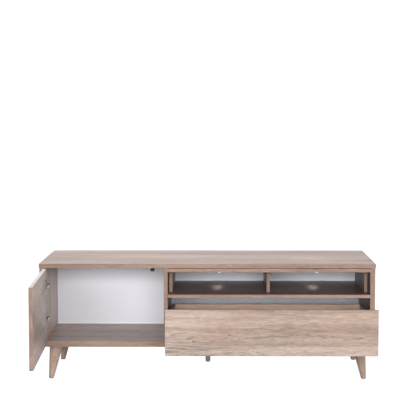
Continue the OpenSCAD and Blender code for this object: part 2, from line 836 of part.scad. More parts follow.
// A channel along Y: web at x0, flanges reaching flange_w in the direction way, height h
module channel(x0, way, flange_w, h) {
    web = way > 0 ? [x0, x0 + slide_sheet] : [x0 - slide_sheet, x0];
    reach = way > 0 ? [x0, x0 + flange_w] : [x0 - flange_w, x0];
    board([web[0], slide_y, slide_z - h / 2], [web[1], slide_y + slide_l, slide_z + h / 2]);
    board([reach[0], slide_y, slide_z - h / 2],
          [reach[1], slide_y + slide_l, slide_z - h / 2 + slide_sheet]);
    board([reach[0], slide_y, slide_z + h / 2 - slide_sheet],
          [reach[1], slide_y + slide_l, slide_z + h / 2]);
}
module slide_outer(x0, way) {
    color(steel) difference() {
        channel(x0, way, outer_flange, slide_h);
        slide_cabinet_shanks(slip);
    }
}
module slide_outer_left() { slide_outer(part_right, 1); }
module slide_outer_right() { slide_outer(inner_x, -1); }

module slide_middle(x0, way) {
    color(steel) middle_pose() channel(x0, way, middle_flange, middle_h);
}
module slide_middle_left() { slide_middle(part_right + middle_offset, 1); }
module slide_middle_right() { slide_middle(inner_x - middle_offset, -1); }

module slide_inner(x0, way) {
    color(steel) drawer_pose() difference() {
        channel(x0, way, inner_flange, inner_h);
        slide_drawer_shanks(slip);
    }
}
module slide_inner_left() { slide_inner(drawer_x0, -1); }
module slide_inner_right() { slide_inner(drawer_x1, 1); }

// Screws through the outer members into the partition and the right side
module slide_cabinet_shanks(grow = 0) {
    for (y = slide_screw_ys) {
        bar_x([part_right - slide_screw_in_cabinet - grow, y, slide_z],
              slide_screw_in_cabinet + slide_sheet + grow, slide_screw_d + 2 * grow);
        bar_x([inner_x - slide_sheet, y, slide_z],
              slide_screw_in_cabinet + slide_sheet + grow, slide_screw_d + 2 * grow);
    }
}
module slide_screws_cabinet() {
    color(steel) {
        slide_cabinet_shanks();
        for (y = slide_screw_ys) {
            bar_x([part_right + slide_sheet, y, slide_z], slide_head_t, slide_head_d);
            bar_x([inner_x - slide_sheet - slide_head_t, y, slide_z], slide_head_t, slide_head_d);
        }
    }
}
// Screws through the inner members into the drawer sides
module slide_drawer_shanks(grow = 0) {
    for (y = slide_screw_ys) {
        bar_x([drawer_x0 - slide_sheet, y, slide_z],
              slide_sheet + slide_screw_in_drawer + grow, slide_screw_d + 2 * grow);
        bar_x([drawer_x1 - slide_screw_in_drawer - grow, y, slide_z],
              slide_sheet + slide_screw_in_drawer + grow, slide_screw_d + 2 * grow);
    }
}
module slide_screws_drawer() {
    color(steel) drawer_pose() {
        slide_drawer_shanks();
        for (y = slide_screw_ys) {
            bar_x([drawer_x0 - slide_sheet - slide_head_t, y, slide_z], slide_head_t,
                  slide_head_d);
            bar_x([drawer_x1 + slide_sheet, y, slide_z], slide_head_t, slide_head_d);
        }
    }
}

// ---------- what is drawn ----------

top_panel();
bottom_panel();
left_side();
right_side();
partition();
niche_ceiling();
niche_left_side();
niche_divider();
niche_right_side();
niche_shelf();
back_left();
back_right();
front_left_leg();
front_right_leg();
rear_left_leg();
rear_right_leg();
centre_leg();
leg_plates();
leg_plate_screws();
leg_bolts();
leg_glides();
light_ring_left();
light_ring_right();
light_lens_left();
light_lens_right();
push_latch_body();
push_latch_plunger();
push_latch_screws();
latch_strike();
hinge_arm_upper();
hinge_arm_lower();
hinge_plate_upper();
hinge_plate_lower();
hinge_plate_screws();
hinge_arm_screws();
hinge_cup_upper();
hinge_cup_lower();
hinge_pins();
hinge_cup_screws();
door_panel();
cam_locks();
cam_bolts();
dowels();
drawer_front();
drawer_left_side();
drawer_right_side();
drawer_back();
drawer_bottom();
slide_outer_left();
slide_outer_right();
slide_middle_left();
slide_middle_right();
slide_inner_left();
slide_inner_right();
slide_screws_cabinet();
slide_screws_drawer();
drawer_front_screws();
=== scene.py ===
import json
import math

import bmesh
import bpy
import numpy as np
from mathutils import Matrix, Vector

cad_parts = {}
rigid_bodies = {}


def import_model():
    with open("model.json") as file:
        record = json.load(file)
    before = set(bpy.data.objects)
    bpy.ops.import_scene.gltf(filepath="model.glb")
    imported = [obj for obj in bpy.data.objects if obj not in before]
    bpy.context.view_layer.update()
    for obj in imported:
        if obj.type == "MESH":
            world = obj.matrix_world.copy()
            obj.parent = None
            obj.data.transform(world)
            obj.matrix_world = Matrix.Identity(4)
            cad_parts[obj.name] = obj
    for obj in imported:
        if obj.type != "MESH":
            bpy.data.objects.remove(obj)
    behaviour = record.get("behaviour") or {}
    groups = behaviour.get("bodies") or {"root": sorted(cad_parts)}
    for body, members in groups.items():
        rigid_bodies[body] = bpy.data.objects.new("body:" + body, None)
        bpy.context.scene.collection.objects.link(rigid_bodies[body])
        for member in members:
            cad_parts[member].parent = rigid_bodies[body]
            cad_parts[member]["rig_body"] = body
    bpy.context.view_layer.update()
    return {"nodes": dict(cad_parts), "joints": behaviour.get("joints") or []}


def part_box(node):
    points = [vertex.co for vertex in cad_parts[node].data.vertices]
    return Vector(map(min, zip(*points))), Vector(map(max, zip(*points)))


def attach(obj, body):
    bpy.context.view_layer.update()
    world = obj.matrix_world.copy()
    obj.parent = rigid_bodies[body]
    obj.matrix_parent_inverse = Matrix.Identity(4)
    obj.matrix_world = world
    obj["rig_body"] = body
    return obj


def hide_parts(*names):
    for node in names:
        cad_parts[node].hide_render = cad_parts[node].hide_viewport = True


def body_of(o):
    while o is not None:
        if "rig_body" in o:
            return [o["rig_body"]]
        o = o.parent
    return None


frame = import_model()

# ---------------------------------------------------------------------------------------------
# Top panel
# One 18 mm chipboard panel covered with a wood-look foil, its grain running along the cabinet.
# All four edges carry 1 mm edge band, glued on and rounded over. Cams pull it down on the sides.
# ---------------------------------------------------------------------------------------------


def skin_lines(low, high, edge):
    """Grid lines from low to high: crowded at both ends where the edge is rounded, so that each
    line there turns the surface by 15 degrees more, up to 45 degrees at the box's own corner."""
    turns = 1 - np.tan(np.radians([45, 30, 15, 0]))
    return np.concatenate([low + edge * turns, (high - edge * turns)[::-1]])


def board_skin(low, high, edge):
    """Closed skin of a board with rounded edges, as (points, normals, quads).
    A point on the plain box's skin is first drawn back into the box that is smaller by edge on
    every side, and then pushed out by edge along the line between the two."""
    low, high = np.array(low, float), np.array(high, float)
    lines = [skin_lines(low[k], high[k], edge) for k in range(3)]
    points, quads, start = [], [], 0
    for k in range(3):
        a, b = (k + 1) % 3, (k + 2) % 3
        for face_at, outward in ((low[k], False), (high[k], True)):
            u, v = np.meshgrid(lines[a], lines[b], indexing="ij")
            grid = np.empty(u.shape + (3,))
            grid[..., a], grid[..., b], grid[..., k] = u, v, face_at
            index = start + np.arange(u.size).reshape(u.shape)
            corners = [index[:-1, :-1], index[1:, :-1], index[1:, 1:], index[:-1, 1:]]
            if not outward:
                corners.reverse()
            quads.append(np.stack(corners, -1).reshape(-1, 4))
            points.append(grid.reshape(-1, 3))
            start += u.size
    points, quads = np.concatenate(points), np.concatenate(quads)
    keys = np.round(points * 1e7).astype(np.int64)
    _, first, same = np.unique(keys, axis=0, return_index=True, return_inverse=True)
    points, quads = points[first], same.reshape(-1)[quads]
    core = np.clip(points, low + edge, high - edge)
    out = points - core
    out /= np.linalg.norm(out, axis=1, keepdims=True)
    return core + out * edge, out, quads


def new_piece(name, points, faces, material, body, normals=None, grain=None, sharp=None):
    """Makes one piece of the cabinet from arrays of points and faces. It takes either its vertex
    normals, or edges that look sharp past an angle in degrees. Board and wood also take their
    grain coordinates: metres along the grain, across it and in depth."""
    mesh = bpy.data.meshes.new(name)
    mesh.from_pydata(points.tolist(), [], faces)
    mesh.shade_smooth()
    if normals is not None:
        mesh.normals_split_custom_set_from_vertices(normals.tolist())
    if sharp:
        mesh.set_sharp_from_angle(angle=math.radians(sharp))
    if grain is not None:
        mark_grain(mesh, grain)
    mesh.materials.append(material)
    piece = bpy.data.objects.new(name, mesh)
    bpy.context.scene.collection.objects.link(piece)
    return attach(piece, body)


def mark_grain(mesh, grain):
    """Stores the grain coordinates of a mesh's points as its attribute."""
    attribute = mesh.attributes.new("grain", "FLOAT_VECTOR", "POINT")
    attribute.data.foreach_set("vector", grain.astype(np.float32).ravel())


def fresh_material(name, rough):
    """A new material of a given roughness, as (material, its node tree, its shader)."""
    material = bpy.data.materials.new(name)
    material.use_nodes = True
    shader = material.node_tree.nodes["Principled BSDF"]
    shader.inputs["Roughness"].default_value = rough
    return material, material.node_tree, shader


def joined(tree, kind, inputs, output, **settings):
    """Adds a node of a kind to a node tree and returns its named output. Each input takes a plain
    value or the output of another node."""
    node = tree.nodes.new("ShaderNode" + kind)
    for key, value in settings.items():
        setattr(node, key, value)
    for key, value in inputs.items():
        if isinstance(value, bpy.types.NodeSocket):
            tree.links.new(value, node.inputs[key])
        else:
            node.inputs[key].default_value = value
    return node.outputs[output]


def noise(tree, place, scale, detail=2.0, distortion=0.0, shift=(0, 0, 0), rough=0.5):
    """Cloudy noise of a place, squeezed by a scale along each axis and then moved by a shift."""
    squeezed = joined(tree, "Mapping", {"Vector": place, "Scale": scale, "Location": shift}, "Vector")
    inputs = {"Vector": squeezed, "Scale": 1.0, "Detail": detail, "Roughness": rough,
              "Distortion": distortion}
    return joined(tree, "TexNoise", inputs, "Fac")


def reckon(tree, operation, a, b=0.5):
    """Arithmetic on one or two values."""
    return joined(tree, "Math", {0: a, 1: b}, "Value", operation=operation)


def ramp(tree, factor, stops):
    """Turns a factor into a colour that runs evenly between (factor, colour) stops."""
    node = tree.nodes.new("ShaderNodeValToRGB")
    while len(node.color_ramp.elements) < len(stops):
        node.color_ramp.elements.new(0.5)
    for element, (at, colour) in zip(node.color_ramp.elements, stops):
        element.position = at
        element.color = (*colour, 1.0)
    tree.links.new(factor, node.inputs["Fac"])
    return node.outputs["Color"]


def mixed(tree, factor, a, b, blend="MIX"):
    """Lays colour b over colour a by a factor, as paint or as a tint that multiplies."""
    if isinstance(b, tuple):
        b = (*b, 1.0)
    return joined(tree, "Mix", {"Factor": factor, "A": a, "B": b}, "Result", data_type="RGBA",
                  blend_type=blend)


def bumped(tree, shader, height, strength, distance):
    """Raises the surface by a height, up to a distance in metres, as fine relief."""
    inputs = {"Strength": strength, "Distance": distance, "Height": height}
    tree.links.new(joined(tree, "Bump", inputs, "Normal"), shader.inputs["Normal"])


def grey(value):
    """The same value three times over."""
    return (value, value, value)


knot_size = (0.010, 0.0055, 1.0)


def oak_foil(name, pale, mid, dark, figure=1.0, knots=()):
    """Printed wood foil. From the coarsest to the finest: slow patches of tone, long bands, fibres
    that are livelier in some places, a cloudy mottle, hairline cracks in some places only, and
    short pores. Every pattern is noise on the grain coordinates, squeezed across the grain; figure
    scales how strongly they show. A crack runs where its noise crosses its middle value. A knot
    is an oval dark spot."""
    material, tree, shader = fresh_material(name, 0.40)
    grain = joined(tree, "Attribute", {}, "Vector", attribute_name="grain")

    def print_noise(scale, detail, distortion=0.0, shift=(0, 0, 0)):
        """Noise on the grain coordinates."""
        return noise(tree, grain, scale, detail, distortion, shift, 0.55)

    def toned(colour, pattern, low, high, share=1.0):
        """Tints a colour by a grey that runs between two (pattern, grey) stops."""
        tone = ramp(tree, pattern, [(low[0], grey(low[1])), (high[0], grey(high[1]))])
        return mixed(tree, share, colour, tone, "MULTIPLY")

    patches = print_noise((1.5, 6.0, 6.0), 2.0)
    bands = print_noise((0.9, 24.0, 24.0), 3.0, 0.3, (3.1, 0, 0))
    fibres = print_noise((19.0, 400.0, 400.0), 5.0, 0.3, (0, 7.7, 0))
    liveliness = print_noise((2.6, 8.0, 8.0), 2.0, 0.0, (6.6, 0, 0))
    mottle = print_noise((30.0, 120.0, 120.0), 4.0, 0.8, (5.5, 0, 1.1))
    cracks = print_noise((3.2, 34.0, 34.0), 4.0, 1.1, (9.2, 1.3, 0))
    cracked_places = print_noise((2.2, 9.0, 9.0), 1.0, 0.0, (0.4, 4.3, 0))
    pores = print_noise((60.0, 1400.0, 1400.0), 2.0, 0.0, (0, 0, 2.2))

    colour = ramp(tree, patches, [(0.36, mid), (0.62, pale)])
    colour = toned(colour, bands, (0.34, 1.0 - 0.30 * figure), (0.62, 1.0 + 0.05 * figure))
    lively = ramp(tree, liveliness, [(0.40, grey(0.45)), (0.60, grey(1.0))])
    colour = toned(colour, fibres, (0.36, 1.0 - 0.28 * figure), (0.62, 1.0 + 0.07 * figure), lively)
    colour = toned(colour, mottle, (0.35, 1.0 - 0.16 * figure), (0.65, 1.0 + 0.06 * figure))
    ridge = reckon(tree, "ABSOLUTE", reckon(tree, "SUBTRACT", cracks, 0.5))
    line = ramp(tree, ridge, [(0.0, grey(0.85)), (0.028, grey(0.0))])
    cracked = ramp(tree, cracked_places, [(0.44, grey(0.0)), (0.60, grey(1.0))])
    colour = mixed(tree, reckon(tree, "MULTIPLY", line, cracked), colour, dark)
    colour = toned(colour, pores, (0.30, 0.62), (0.42, 1.0), 0.5)
    for along, over in knots:
        oval = joined(tree, "Mapping", {"Vector": grain, "Location": (along, over, 0),
                                        "Scale": knot_size}, "Vector", vector_type="TEXTURE")
        away = joined(tree, "VectorMath", {0: oval}, "Value", operation="LENGTH")
        knot_tone = ramp(tree, away, [(0.45, (0.12, 0.10, 0.10)), (1.0, grey(1.0))])
        colour = mixed(tree, 1.0, colour, knot_tone, "MULTIPLY")
    tree.links.new(colour, shader.inputs["Base Color"])

    height = reckon(tree, "ADD", reckon(tree, "MULTIPLY", pores, 0.6),
                    reckon(tree, "MULTIPLY", fibres, 0.4))
    bumped(tree, shader, height, 0.22, 0.0006)
    return material


board_foil = oak_foil("board_foil", (0.555, 0.435, 0.380), (0.425, 0.328, 0.280),
                      (0.160, 0.125, 0.110), 0.9)
band_foil = oak_foil("band_foil", (0.370, 0.252, 0.196), (0.290, 0.194, 0.149),
                     (0.170, 0.125, 0.105), 0.8)

board_edge_r = 0.0008
band_t = 0.001
band_proud = 0.0004
band_inset = 0.0003
band_edge_r = 0.00045
AXES = {"x": 0, "y": 1, "z": 2}
SIDE_NAMES = {"-x": "left", "+x": "right", "-y": "front", "+y": "rear", "-z": "under", "+z": "over"}
foil_cut_along, foil_cut_across, band_cut = 2.37, 0.61, 0.31


def grain_coordinates(points, along, seed):
    """Grain coordinates of points for a board whose grain runs along one of its own axes. The
    seed moves the board to another place in the printed pattern, as another cut of the foil."""
    order = {"x": (0, 2, 1), "y": (1, 0, 2), "z": (2, 0, 1)}[along]
    return points[:, order] + np.array([seed * foil_cut_along, seed * foil_cut_across, 0.0])


def edge_bands(name, low, high, along, seed, body, sides, turned=None, foil=None):
    """Edge bands of a board: on each named side, such as "-y" for the front, a thin strip with
    rounded edges that stands a little proud of the board. turned, if given, moves the finished
    points and normals to where the board stands. foil takes the place of the usual band foil."""
    for k, side in enumerate(sides):
        axis = AXES[side[1]]
        a, b = np.array(low, float) + band_inset, np.array(high, float) - band_inset
        if side[0] == "-":
            a[axis], b[axis] = low[axis] - band_proud, low[axis] + band_t - band_proud
        else:
            a[axis], b[axis] = high[axis] - band_t + band_proud, high[axis] + band_proud
        points, normals, quads = board_skin(a, b, band_edge_r)
        grain = grain_coordinates(points, along, seed + band_cut + k)
        if turned:
            points, normals = turned(points, normals)
        band = new_piece(f"{name}_{SIDE_NAMES[side]}_band", points, quads.tolist(),
                         foil or band_foil, body, normals, grain)


def foil_board(node, along, seed, body, sides, material=None, shade_lining=None):
    """Replaces a plain CAD board by a foiled board with rounded edges and its edge bands. A lining,
    if given, names one side and the other foil that covers it, as painted shade on that side."""
    low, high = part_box(node)
    points, normals, quads = board_skin(low, high, board_edge_r)
    board = new_piece(node + "_board", points, quads.tolist(), material or board_foil, body,
                      normals, grain_coordinates(points, along, seed))
    if shade_lining:
        side, foil = shade_lining
        board.data.materials.append(foil)
        towards = normals[quads].mean(1)[:, AXES[side[1]]]
        on_side = towards > 0.9 if side[0] == "+" else towards < -0.9
        board.data.polygons.foreach_set("material_index", on_side.astype(np.int32))
    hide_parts(node)
    edge_bands(node, low, high, along, seed, body, sides)


foil_board("top_panel", "x", 1, "cabinet", ("-y", "+y", "-x", "+x"))

# ---------------------------------------------------------------------------------------------
# Bottom panel, sides and partition
# Thicker boards in the same foil. The grain runs along the bottom and up the sides. Their edges
# are banded where they stay in view. Inside the drawer bay the uprights are lined with dark foil,
# which is painted shade: it darkens their inner faces where the bay lies in shadow.
# ---------------------------------------------------------------------------------------------
foil_board("bottom_panel", "x", 2, "cabinet", ("-y", "-x", "+x", "+y"))
foil_board("left_side", "z", 3, "cabinet", ("-y", "+y"))
# Dark foil is painted shade: a darker copy of the board foil for faces that lie in shadow.
painted_shade_foil = oak_foil("painted_shade_foil", (0.225, 0.155, 0.140), (0.170, 0.115, 0.104),
                     (0.070, 0.048, 0.042), 0.9)
foil_board("right_side", "z", 4, "cabinet", ("-y", "+y"), shade_lining=("-x", painted_shade_foil))
foil_board("partition", "z", 5, "cabinet", ("-y", "+y"), shade_lining=("+x", painted_shade_foil))

# ---------------------------------------------------------------------------------------------
# Niche: ceiling board, shelf, two sides and the divider
# Thinner boards, dowelled and glued into one frame that slides in between the partition and the
# right side. All but the ceiling carry the dark foil, which is painted shade for the dim inside of
# the niche, and their front edges have the usual band.
# ---------------------------------------------------------------------------------------------
foil_board("niche_ceiling", "x", 6, "cabinet", ("-y",))
# The shelf, sides and divider take the dark foil as painted shade for the dim niche.
foil_board("niche_shelf", "x", 7, "cabinet", ("-y",), painted_shade_foil)
foil_board("niche_left_side", "z", 8, "cabinet", ("-y",), painted_shade_foil)
foil_board("niche_divider", "z", 9, "cabinet", ("-y",), painted_shade_foil)
foil_board("niche_right_side", "z", 10, "cabinet", ("-y",), painted_shade_foil)

# ---------------------------------------------------------------------------------------------
# Back boards and their beads
# Two thin hardboard sheets that slide into grooves, white-coated in front and bare brown fibre
# behind. A small white plastic bead, stuck in, covers the joint along each sheet's foot.
# ---------------------------------------------------------------------------------------------


def coated_hardboard():
    """White paint with a faint roller texture on the front; pressed brown fibre on the rear."""
    material, tree, shader = fresh_material("coated_hardboard", 0.62)
    place = joined(tree, "TexCoord", {}, "Object")
    fibre = noise(tree, place, (420.0, 420.0, 60.0), 3.0)
    paint = ramp(tree, fibre, [(0.0, (0.80, 0.815, 0.88)), (1.0, (0.86, 0.875, 0.94))])
    brown = ramp(tree, fibre, [(0.0, (0.13, 0.08, 0.05)), (1.0, (0.27, 0.17, 0.10))])
    facing_back = joined(tree, "SeparateXYZ", {"Vector": joined(tree, "TexCoord", {}, "Normal")}, "Y")
    behind = reckon(tree, "GREATER_THAN", facing_back, 0.5)
    tree.links.new(mixed(tree, behind, paint, brown), shader.inputs["Base Color"])
    bumped(tree, shader, fibre, 0.12, 0.0004)
    return material


hardboard = coated_hardboard()


def finished(node, material):
    """Gives a CAD node that keeps its own shape its finish."""
    mesh = frame["nodes"][node].data
    mesh.materials.clear()
    mesh.materials.append(material)


for sheet in ("back_left", "back_right"):
    finished(sheet, hardboard)


def strip_plastic():
    """White gloss plastic with the faint ripple of an extruded strip along its length."""
    material, tree, shader = fresh_material("bead_plastic", 0.28)
    ripple = noise(tree, joined(tree, "TexCoord", {}, "Object"), (14.0, 900.0, 900.0))
    tone = ramp(tree, ripple, [(0.0, (0.90, 0.90, 0.92)), (1.0, (0.97, 0.97, 0.98))])
    tree.links.new(tone, shader.inputs["Base Color"])
    bumped(tree, shader, ripple, 0.15, 0.0002)
    return material


bead_plastic = strip_plastic()
bead_r = 0.004


def corner_bead(name, x0, x1, floor, back):
    """White cover bead in the corner of a floor and a back board: a quarter circle that bulges
    towards the front, with its two straight legs against the boards, carried along X."""
    bend = np.radians(np.linspace(0, 90, 9))
    y = np.concatenate([[back], back - bead_r * np.cos(bend)])
    z = np.concatenate([[floor], floor + bead_r * np.sin(bend)])
    points = np.stack([np.repeat([x0, x1], len(y)), np.tile(y, 2), np.tile(z, 2)], -1)
    row = np.arange(len(y))
    after = np.roll(row, -1)
    quads = np.stack([row, after, after + len(y), row + len(y)], -1)
    ends = [row[::-1].tolist(), (row + len(y)).tolist()]
    bead = new_piece(name, points, quads.tolist() + ends, bead_plastic, "cabinet", sharp=30)


sheet_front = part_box("back_left")[0][1]
corner_bead("left_back_bead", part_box("left_side")[1][0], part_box("partition")[0][0],
            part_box("bottom_panel")[1][2], sheet_front)
corner_bead("niche_bead_left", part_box("niche_left_side")[1][0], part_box("niche_divider")[0][0],
            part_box("niche_shelf")[1][2], sheet_front)
corner_bead("niche_bead_right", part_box("niche_divider")[1][0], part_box("niche_right_side")[0][0],
            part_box("niche_shelf")[1][2], sheet_front)

# ---------------------------------------------------------------------------------------------
# Legs
# Four leaning tapered legs at the corners and a slim straight one in the middle, turned from
# solid wood and stained, with the grain along each leg and a rounded foot.
# ---------------------------------------------------------------------------------------------
leg_stain = oak_foil("leg_stain", (0.480, 0.348, 0.272), (0.370, 0.260, 0.198),
                     (0.20, 0.14, 0.11), 0.9)
leg_cut = 1.9


def mesh_points(mesh):
    """All points of a mesh as one array."""
    points = np.empty(len(mesh.vertices) * 3)
    mesh.vertices.foreach_get("co", points)
    return points.reshape(-1, 3)


def end_ring(node, upper):
    """Centre and radius of a leg's round end, from the outermost points of its CAD solid."""
    points = mesh_points(frame["nodes"][node].data)
    z = points[:, 2].max() if upper else points[:, 2].min()
    ring = points[np.abs(points[:, 2] - z) < 1e-5]
    centre = (ring.min(0) + ring.max(0)) / 2
    return centre, (ring[:, 1].max() - ring[:, 1].min()) / 2


def turned_leg(node, seed):
    """A lathe shape on a leaning axis. Down the leg the radius shrinks evenly from the top's to
    the foot's; within the last 1.5 mm it also follows a quarter circle that rounds the foot, and
    the first 1 mm is chamfered. Rings and their centres are stacked along the leaning axis."""
    top, top_r = end_ring(node, True)
    foot, foot_r = end_ring(node, False)
    rounding, chamfer, around = 0.0015, 0.001, 64
    length = top[2] - foot[2]
    curve = np.radians(np.linspace(0, 90, 9))
    down = np.concatenate([[0.0, chamfer], np.linspace(0.06, 0.94, 12) * length,
                           length - rounding * (1 - np.sin(curve))])
    radius = top_r + (foot_r - top_r) * down / length
    radius[0] -= chamfer
    radius[-9:] -= rounding * (1 - np.cos(curve))
    turn = np.linspace(0, 2 * np.pi, around, endpoint=False)
    share = (down / length)[:, None]
    x = top[0] + (foot[0] - top[0]) * share + radius[:, None] * np.cos(turn)
    y = top[1] + (foot[1] - top[1]) * share + radius[:, None] * np.sin(turn)
    z = np.broadcast_to(top[2] - down[:, None], x.shape)
    points = np.stack([x, y, z], -1).reshape(-1, 3)
    ring = np.arange(len(down) * around).reshape(len(down), around)
    after = np.roll(ring, -1, axis=1)
    quads = np.stack([ring[:-1], ring[1:], after[1:], after[:-1]], -1).reshape(-1, 4)
    faces = quads.tolist() + [ring[0].tolist(), ring[-1][::-1].tolist()]
    grain = np.stack([points[:, 2] + seed * leg_cut, points[:, 0], points[:, 1]], -1)
    leg = new_piece(node + "_turned", points, faces, leg_stain, "cabinet", grain=grain, sharp=40)
    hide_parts(node)


for seed, node in enumerate(("front_left_leg", "front_right_leg", "rear_left_leg",
                             "rear_right_leg", "centre_leg")):
    turned_leg(node, seed)

# ---------------------------------------------------------------------------------------------
# Door
# One foiled board, banded on all four edges, hung on two cup hinges at its left edge. The top band
# is a pale foil, a painted highlight of the light that falls on that edge from above. Its closed
# place comes from turning it back about the hinge pins.
# ---------------------------------------------------------------------------------------------
door_joint = next(j for j in frame["joints"] if j["name"] == "door_hinge")
door_turn = math.radians(-door_joint["range_deg"][0])
door_pin = np.array(door_joint["pos_m"], float)


def about_pin(points, turn, pivot=door_pin):
    """Turns points about the upright hinge pin, by turn radians clockwise as seen from above."""
    c, s = math.cos(turn), math.sin(turn)
    moved = points - pivot
    x, y = moved[:, 0] * c + moved[:, 1] * s, -moved[:, 0] * s + moved[:, 1] * c
    return np.stack([x, y, moved[:, 2]], -1) + pivot


def door_opened(points, normals):
    """Takes points and normals from the closed door to the door as it stands."""
    return about_pin(points, door_turn), about_pin(normals, door_turn, np.zeros(3))


def closed_box(node):
    """Lowest and highest corner of a door node with the door closed."""
    points = about_pin(mesh_points(frame["nodes"][node].data), -door_turn)
    return points.min(0), points.max(0)


def softened(node, edge, material, grain=None):
    """Replaces a CAD node by a copy of its mesh with rolled edges: the copy's loose triangles are
    merged, its flat faces joined, and its sharp edges rounded by a bevel. For board, grain gives
    the grain coordinates of the copy's points."""
    flat_within, sharp_past = math.radians(1), math.radians(35)
    source = frame["nodes"][node]
    mesh = source.data.copy()
    mesh.name = node + "_rolled"
    work = bmesh.new()
    work.from_mesh(mesh)
    bmesh.ops.remove_doubles(work, verts=work.verts, dist=1e-6)
    bmesh.ops.dissolve_limit(work, angle_limit=flat_within, verts=work.verts, edges=work.edges)
    work.to_mesh(mesh)
    work.free()
    if grain:
        mark_grain(mesh, grain(mesh_points(mesh)))
    mesh.materials.clear()
    mesh.materials.append(material)
    mesh.shade_smooth()
    piece = bpy.data.objects.new(node + "_rolled", mesh)
    bpy.context.scene.collection.objects.link(piece)
    rolled = piece.modifiers.new("rolled_edge", "BEVEL")
    rolled.width = edge
    rolled.segments = 2
    rolled.limit_method = "ANGLE"
    rolled.angle_limit = sharp_past
    rolled.harden_normals = True
    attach(piece, body_of(source)[0])
    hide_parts(node)


door_seed = 11


def door_grain(points):
    """Grain coordinates of points of the open door, from where they are when it is closed."""
    return grain_coordinates(about_pin(points, -door_turn), "x", door_seed)


softened("door_panel", board_edge_r, board_foil, door_grain)
door_low, door_high = closed_box("door_panel")
edge_bands("door", door_low, door_high, "x", door_seed, "door", ("-x", "+x", "-z"), door_opened)
# The top band's pale foil is a painted highlight: the glare of light from above on that edge.
highlight_band_foil = oak_foil("painted_highlight_band_foil", (0.800, 0.765, 0.745), (0.720, 0.685, 0.665),
                     (0.520, 0.480, 0.460), 0.3)
edge_bands("door", door_low, door_high, "x", door_seed, "door", ("+z",), door_opened, highlight_band_foil)

# ---------------------------------------------------------------------------------------------
# Drawer
# A foiled front board, banded all round, screwed to a box of darker boards with a thin sheet in
# its grooves. The front carries the foil's liveliest figure and one small knot.
# ---------------------------------------------------------------------------------------------
front_low, front_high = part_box("drawer_front")
front_seed = 12
knot_along, knot_up = 0.134, 0.315
knot_at = (front_low[0] + knot_along * (front_high[0] - front_low[0]) + front_seed * foil_cut_along,
           front_low[2] + knot_up * (front_high[2] - front_low[2]) + front_seed * foil_cut_across)
front_foil = oak_foil("drawer_front_foil", (0.595, 0.470, 0.405), (0.458, 0.338, 0.278),
                      (0.160, 0.122, 0.110), 1.0, (knot_at,))
foil_board("drawer_front", "x", front_seed, "drawer", ("-x", "+x", "-z", "+z"), front_foil)

box_foil = oak_foil("drawer_box_foil", (0.270, 0.200, 0.165), (0.200, 0.145, 0.120),
                    (0.090, 0.065, 0.055))
foil_board("drawer_left_side", "y", 20, "drawer", ("+z",), box_foil)
foil_board("drawer_right_side", "y", 21, "drawer", ("+z",), box_foil)
back_foil = oak_foil("drawer_back_foil", (0.500, 0.352, 0.285), (0.385, 0.262, 0.207),
                     (0.180, 0.125, 0.105), 0.7)
foil_board("drawer_back", "x", 22, "drawer", ("+z",), back_foil)
finished("drawer_bottom", hardboard)

# ---------------------------------------------------------------------------------------------
# Hinges
# Two nickel-plated pressed-steel cup hinges. The cup sits in the door, the arm is screwed to a
# wing plate on the cabinet's side, and a black plug in the front end of the hollow arm is painted
# shade, a dark block where the arm's open inside lies in shadow. The push latch's strike on the
# door is plated alike.
# ---------------------------------------------------------------------------------------------


def plated(name, colour, rough):
    """Plated pressed steel: fine drawing scratches along the part and cloudy variations of the
    roughness, both noise on the object's own coordinates."""
    material, tree, shader = fresh_material(name, rough)
    shader.inputs["Metallic"].default_value = 1.0
    place = joined(tree, "TexCoord", {}, "Object")
    scratches = noise(tree, place, (900.0, 60.0, 900.0))
    clouds = noise(tree, place, grey(90.0))
    tone = ramp(tree, scratches, [(0.0, [0.82 * c for c in colour]), (1.0, colour)])
    tree.links.new(tone, shader.inputs["Base Color"])
    inputs = {"Value": clouds, "To Min": rough - 0.08, "To Max": rough + 0.10}
    tree.links.new(joined(tree, "MapRange", inputs, "Result"), shader.inputs["Roughness"])
    bumped(tree, shader, scratches, 0.15, 0.0002)
    return material


def solids(node, moved=None):
    """Lowest and highest corners of each separate solid in a CAD node. Points at one place are
    first made one; then each point's label spreads along the triangles' edges, the lower label
    winning, until nothing changes, so that each solid ends up with one label."""
    mesh = frame["nodes"][node].data
    points = mesh_points(mesh)
    edges = np.empty(len(mesh.edges) * 2, np.int64)
    mesh.edges.foreach_get("vertices", edges)
    _, same = np.unique(np.round(points * 1e6), axis=0, return_inverse=True)
    edges = same.reshape(-1)[edges.reshape(-1, 2)]
    label = np.arange(same.max() + 1)
    while True:
        spread = label.copy()
        np.minimum.at(spread, edges[:, 0], label[edges[:, 1]])
        np.minimum.at(spread, edges[:, 1], label[edges[:, 0]])
        if np.array_equal(spread, label):
            break
        label = spread
    if moved:
        points = moved(points)
    label = label[same.reshape(-1)]
    return [(points[label == k].min(0), points[label == k].max(0)) for k in np.unique(label)]


